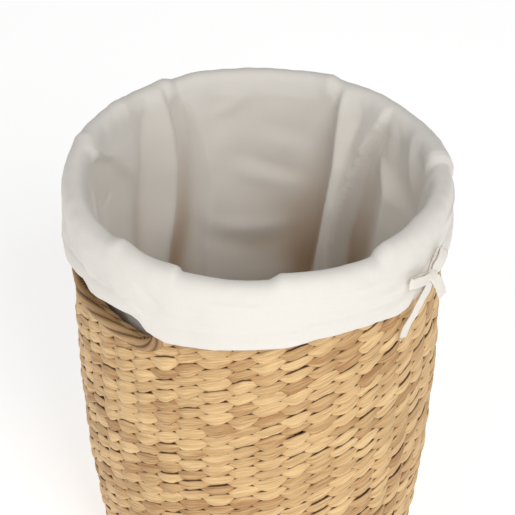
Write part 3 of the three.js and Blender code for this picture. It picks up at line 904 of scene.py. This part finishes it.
def shape_cuff(theta, radius, height, start, edge):
    """Sets the rows from the rim down outside to the hem."""
    drop = np.linspace(0, 1, len(theta))[:, None] ** 0.9
    height[:] = start + (edge - start) * (drop + 0.02) / 1.02
    arc = np.radians(theta) * CUFF_RADIUS
    fall = np.clip((BAG_TOP - height) / 0.05, 0, 1)
    out = 201.2 * MM + 0.8 * MM * fall
    out = out + uneven(arc, height, 0.03, 5) * 1.3 * MM * (0.4 + fall)
    out = out + uneven(arc + height * 0.6, height * 2, 0.012, 6) * 0.55 * MM
    for (a0, z0), (a1, z1), half, push in CUFF_CREASES:
        start_x, end_x = math.radians(a0) * CUFF_RADIUS / MM, math.radians(a1) * CUFF_RADIUS / MM
        way = Vector((end_x - start_x, z1 - z0))
        x, y = arc / MM - start_x, height / MM - z0
        share = np.clip((x * way.x + y * way.y) / way.length_squared, 0, 1)
        off = np.hypot(x - share * way.x, y - share * way.y)
        out = out + push * MM * np.sin(math.pi * (0.08 + 0.84 * share)) * np.exp(-(off / half) ** 1.5)

    # the hem's tunnel, with its row of stitches pulled in
    above = height - edge
    tunnel = np.clip(1 - np.abs(above - 9 * MM) / (9.5 * MM), 0, 1)
    out = out + 1.2 * MM * np.sqrt(tunnel) - 0.5 * MM * np.exp(-((above - 19 * MM) / (1.5 * MM)) ** 2)
    radius[:] = np.maximum(out, 199.6 * MM)


def make_liner():
    """The side of the liner: up from its floor, over the rim and down outside to the hem."""
    count, cuff_rows = 400, 30
    low, fine_from = LINER_FLOOR + 1 * MM, 0.235
    levels = np.concatenate([
        np.linspace(low, fine_from, 16, endpoint=False), np.linspace(fine_from, BAG_TOP, 54),
    ])
    first_roll = len(levels)
    first_cuff = first_roll + len(ROLL)
    angles = np.arange(count) * 360.0 / count
    theta = np.broadcast_to(angles, (first_cuff + cuff_rows, count)).copy()
    radius, height, show_through_and_shade = np.zeros_like(theta), np.zeros_like(theta), np.zeros_like(theta)
    rise = round_rim(RIM_RISE, angles)
    bag, roll, cuff = slice(first_roll), slice(first_roll, first_cuff), slice(first_cuff, None)
    show_through_and_shade[bag] = shape_bag(theta[bag], radius[bag], height[bag], levels, rise)
    shape_roll(theta[roll], radius[roll], height[roll], rise)
    edge = round_rim(CUFF_EDGE, angles)
    shape_cuff(theta[cuff], radius[cuff], height[cuff], height[first_cuff - 1], edge)

    # the far side's cloth laps over the near side's, on the right
    lap_at, lap_fade, lap_depth = -32.0, 9, 3.0 * MM
    lap = apart(theta, lap_at)
    at_rim = np.clip((height - 0.49) / 0.01, 0, 1)
    step = np.where(lap > 0, np.exp(-lap / lap_fade), 0) * at_rim * lap_depth
    outside = np.arange(len(theta))[:, None] > first_roll + 5
    radius += step * np.where(outside, 1, -0.7)
    height += step

    turn = np.radians(theta)
    points = np.stack([radius * np.cos(turn), radius * np.sin(turn), height], axis=-1).reshape(-1, 3)
    faces = [
        (row + i, row + k, row + count + k, row + count + i)
        for row in range(0, (len(theta) - 1) * count, count) for i, k in enumerate((*range(1, count), 0))
    ]
    lengths = np.cumsum(np.hypot(np.diff(radius.mean(1)), np.diff(height.mean(1))))
    spread = [(i / count * LINER_WIDTH, length) for length in (0, *lengths) for i in range(count)]
    piece = cloth_mesh("liner_side", points, faces, spread, way_round=LINER_WIDTH)
    shade = piece.data.attributes.new("show_through_and_shade", "FLOAT", "POINT")
    shade.data.foreach_set("value", show_through_and_shade.ravel().astype(np.float32))
    thicken(piece)
    return piece


def cloth_mesh(name, points, faces, spread, material=cotton, way_round=0):
    """A mesh piece with flat-cloth UVs in metres, and the way round one that meets itself."""
    mesh = bpy.data.meshes.new(name)
    mesh.from_pydata([tuple(p) for p in points], [], faces)
    layer = mesh.uv_layers.new(name="UVMap")
    for face in mesh.polygons:
        corners = [spread[mesh.loops[i].vertex_index] for i in face.loop_indices]
        widest = max(u for u, _ in corners)
        for i, (u, v) in zip(face.loop_indices, corners):
            past_seam = way_round and widest - u > way_round / 2
            layer.data[i].uv = (u + way_round if past_seam else u, v)
    mesh.shade_smooth()
    mesh.materials.append(material)
    return link(bpy.data.objects.new(name, mesh))


def thicken(piece):
    modifier = piece.modifiers.new("thickness", "SOLIDIFY")
    modifier.thickness = CLOTH_THICKNESS
    modifier.offset = 0


def make_liner_floor():
    """The round cloth at the bottom, sewn to the side."""
    rings, count = 26, 120
    reach = bag_limit(LINER_FLOOR) - 0.4 * MM
    points, faces = [(0, 0, LINER_FLOOR)], []
    for j in range(1, rings + 1):
        for i in range(count):
            x, y, _ = around(i * 360 / count, reach * j / rings, 0)
            soft = noise.noise((x * 22, y * 22, 5.0)) * 1.6 * MM * (1 - (j / rings) ** 6)
            points.append((x, y, LINER_FLOOR + 0.4 * MM + max(soft, -0.4 * MM)))
    for i in range(count):
        k = (i + 1) % count
        faces.append((0, 1 + i, 1 + k))
        for a in range(1, 1 + (rings - 1) * count, count):
            faces.append((a + i, a + count + i, a + count + k, a + k))
    piece = cloth_mesh("liner_floor", points, faces, [(x, y) for x, y, _ in points])
    thicken(piece)
    return piece, reach


def finish_liner():
    side = make_liner()
    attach(side, "liner")
    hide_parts("liner_bag", "liner_cuff", "hem_casing", "drawstring_band")
    floor, reach = make_liner_floor()
    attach(floor, "liner")
    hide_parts("liner_base")
    2 * reach
    2 * reach
    math.pi * reach ** 2


# ---------------- bow

# Routes of the drawstring's two ends as (angle, radius, height) in mm, and the knot they meet at
KNOT = (289.8, 208.6, 465)
LEAD_LEFT = [(284.2, 201.6, 450), (285.2, 202.5, 450.4), (286.3, 204.2, 452.6), (287.3, 206, 457.4)]
LEAD_RIGHT = [(295.8, 201.6, 450), (294.8, 202.5, 450.4), (293.6, 204.2, 452.6), (292.5, 206, 457.4)]
LOOP_LEFT = [
    (287.9, 210.8, 468.6), (285.6, 211.8, 471.6), (282.8, 212, 474.6), (280.4, 211.2, 476.6),
    (279.6, 209.6, 477), (280.2, 208, 476.4), (282.8, 207.4, 473.6), (285.6, 207.2, 470.6),
    (287.9, 207.4, 468.2),
]
LOOP_RIGHT = [
    (291.3, 211, 470.8), (292.9, 211.8, 476.4), (294.6, 211.8, 481.4), (295.9, 210.9, 484.6),
    (296.3, 209.5, 485.4), (295.9, 208.1, 484.4), (294.5, 207.6, 479.4), (292.8, 207.2, 473.6),
    (291.6, 207.2, 469.6),
]
TAIL_LONG = [
    (287.9, 210.6, 459.8), (286.9, 210.4, 454), (285.4, 208.8, 443.6), (283.9, 204.8, 430),
    (282.2, 201, 414.4), (280.6, 199.8, 402.8),
]
TAIL_SHORT = [(291.5, 210, 459.2), (292.5, 211.6, 452), (293.6, 212.8, 443), (294.8, 213.4, 430)]
TAPE_WIDTH = 12 * MM
TAPE_THICKNESS = 1.0 * MM

# Outwards and along the cuff at the knot
OUT = around(KNOT[0], 1, 0)
ALONG = UP.cross(OUT)

# A tape's section, as shares of its half width and half thickness
SECTION = [
    (-1, 0), (-0.97, 0.8), (-0.8, 1), (-0.4, 1.08), (0, 1.12), (0.4, 1.08), (0.8, 1), (0.97, 0.8), (1, 0),
    (0.97, -0.8), (0.8, -1), (0.4, -1), (0, -1), (-0.4, -1), (-0.8, -1), (-0.97, -0.8),
]


def spot(route_point):
    angle, radius, z = route_point
    return around(angle, radius * MM, z * MM)


def across_slant(slant, turned):
    """The direction of a tape's width, where the tape runs at a slant above the horizontal.

    The tape lies flat on the cuff, or with its face turned by an angle toward lower angles."""
    tilt = math.radians(slant)
    lift = OUT * -math.sin(tilt) * math.tan(math.radians(turned))
    return (ALONG * -math.sin(tilt) + UP * math.cos(tilt) + lift).normalized()


def stations_of(*parts):
    """A tape's places and width directions, from parts of (route, slant, turned)."""
    return [(spot(p), across_slant(slant, turned)) for route, slant, turned in parts for p in route]


def smooth_route(stations, step=0.8 * MM):
    """Points and width directions close together on a smooth curve through the stations."""
    fine = []
    last = len(stations) - 1
    for i in range(last):
        near = [stations[max(0, min(last, i + k))] for k in (-1, 0, 1, 2)]
        (p0, _), (p1, w1), (p2, w2), (p3, _) = near
        count = max(2, round((p2 - p1).length / step))
        for k in range(count):
            t = k / count
            point = 0.5 * (2 * p1 + (p2 - p0) * t + (2 * p0 - 5 * p1 + 4 * p2 - p3) * t * t
                           + (3 * p1 - p0 - 3 * p2 + p3) * t ** 3)
            fine.append((point, w1.lerp(w2, t)))
    fine.append(stations[-1])
    return fine


def tube_faces(rings, sides, base=0):
    """The faces of a tube made of rings of points, and its two ends."""
    faces = [
        (a + j, a + sides + j, a + sides + (j + 1) % sides, a + (j + 1) % sides)
        for a in range(base, base + (rings - 1) * sides, sides) for j in range(sides)
    ]
    last = base + (rings - 1) * sides
    return faces + [tuple(range(base, base + sides)), tuple(range(last + sides - 1, last - 1, -1))]


def make_ribbon(name, stations):
    """A flat tape along the stations, bunched up where it goes through the knot."""
    fine = smooth_route(stations)
    centre = spot(KNOT)
    points, spread, run = [], [], 0.0
    for i, (point, width) in enumerate(fine):
        before, after = fine[max(0, i - 1)][0], fine[min(len(fine) - 1, i + 1)][0]
        tangent = (after - before).normalized()
        across = (width - tangent * width.dot(tangent)).normalized()
        normal = across.cross(tangent)
        if i:
            run += (point - fine[i - 1][0]).length
        bunched = math.exp(-((point - centre).length / (6.5 * MM)) ** 2)
        half = TAPE_WIDTH / 2 * (1 - 0.45 * bunched) + 0.25 * MM * math.sin(run * 420)
        thick = TAPE_THICKNESS / 2 * (1 + 0.9 * bunched)
        cup = 0.5 * MM * math.sin(run * 190 + 1)
        for x, y in SECTION:
            fold = bunched * 0.9 * MM * math.cos(x * 5)
            points.append(point + across * x * half + normal * (y * thick + cup * x * x + fold))
            spread.append(((x + 1) * TAPE_WIDTH / 2, run))
    piece = cloth_mesh(name, points, tube_faces(len(fine), len(SECTION)), spread, tape)
    return piece, [p for p, _ in fine], run


def make_knot():
    """The turn of tape pulled tight round the middle of the bow."""
    centre, tilt = spot(KNOT), math.radians(26)
    long_way = ALONG * math.cos(tilt) + UP * math.sin(tilt)
    short_way = ALONG * -math.sin(tilt) + UP * math.cos(tilt)
    half_tall, half_deep = 4.9, 4.2
    points, faces, spread = [], [], []
    steps, sides = 40, 14
    for i in range(steps):
        a = TURN * i / steps
        squeeze = 1 + 0.08 * math.sin(3 * a + 1)
        up_down, in_out = short_way * math.cos(a), OUT * math.sin(a)
        middle = centre + up_down * half_tall * MM * squeeze + in_out * half_deep * MM
        outward = (up_down / half_tall + in_out / half_deep).normalized()
        for j in range(sides):
            b = TURN * j / sides
            wide = math.cos(b) * (6.0 + 0.6 * math.sin(2 * a)) * MM
            thick = math.sin(b) * 1.1 * MM + 0.35 * MM * math.cos(wide / MM * 1.7 + a)
            points.append(middle + long_way * wide + outward * (thick + 0.6 * MM * math.sin(b) ** 2))
            spread.append((wide, a * 4 * MM))
    for i in range(steps):
        k = (i + 1) % steps
        for j in range(sides):
            m = (j + 1) % sides
            faces.append((i * sides + j, i * sides + m, k * sides + m, k * sides + j))
    return cloth_mesh("bow_knot", points, faces, spread, tape)


# Frayed threads, as (place across the tape, length, sideways bend) in mm
THREADS = [(-3.2, 4, 0.4), (-1, 9, -1.2), (0.6, 2.6, 0.5), (1.8, 3.4, -0.5), (3.4, 2.4, 0.9)]


def make_threads(end, heading):
    """Frayed threads at the end of the long tail."""
    points, faces, spread = [], [], []
    steps, sides = 10, 5
    side = (ALONG - heading * ALONG.dot(heading)).normalized()
    outward = side.cross(heading)
    for shift, length, bend in THREADS:
        start = end + side * shift * MM - heading * 0.6 * MM
        faces += tube_faces(steps + 1, sides, len(points))
        for i in range(steps + 1):
            t = i / steps
            place = start + heading * length * MM * t + side * bend * MM * t * t
            place = place + outward * 0.4 * MM * math.sin(5 * t)
            radius = 0.22 * MM * (1 - 0.6 * t)
            for j in range(sides):
                b = TURN * j / sides
                points.append(place + side * math.cos(b) * radius + outward * math.sin(b) * radius)
                spread.append((j * 0.2 * MM, t * length * MM))
    return cloth_mesh("frayed_threads", points, faces, spread, tape)


def make_bow():
    angle, radius, z = KNOT
    behind, front = (angle, radius - 2.2, z), (angle, radius + 1.6, z)
    long_end, long_path, long_length = make_ribbon("tape_long_end", stations_of(
        (LEAD_LEFT, 0, 0), ([behind], 20, 0), (LOOP_RIGHT[::-1], 45, 30), ([front], 55, 10),
        (TAIL_LONG, 66, 10)))
    short_end, short_path, short_length = make_ribbon("tape_short_end", stations_of(
        (LEAD_RIGHT, 0, 0), ([behind], 4, 0), (LOOP_LEFT[::-1], -14, 0), ([front], -30, 0),
        (TAIL_SHORT, -60, 12)))
    knot = make_knot()
    threads = make_threads(long_path[-1], (long_path[-1] - long_path[-4]).normalized())
    for piece in (long_end, short_end, knot, threads):
        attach(piece, "liner")
    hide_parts("tape_lead_left", "tape_loop_right", "tape_tail_long")
    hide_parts("tape_lead_right", "tape_loop_left", "tape_tail_short")
    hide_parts("tape_knot")
    for end, path, length, route, pieces in (
        (long_end, long_path, long_length, LEAD_LEFT, [knot, threads]),
        (short_end, short_path, short_length, LEAD_RIGHT, []),
    ):
        spot(route[0])


make_camera()
make_studio()
twining = build_twining()
wrapping = build_wrapping()
make_wall(twining)
make_base(twining)
make_borders(wrapping)
finish_steel()
finish_liner()
make_bow()
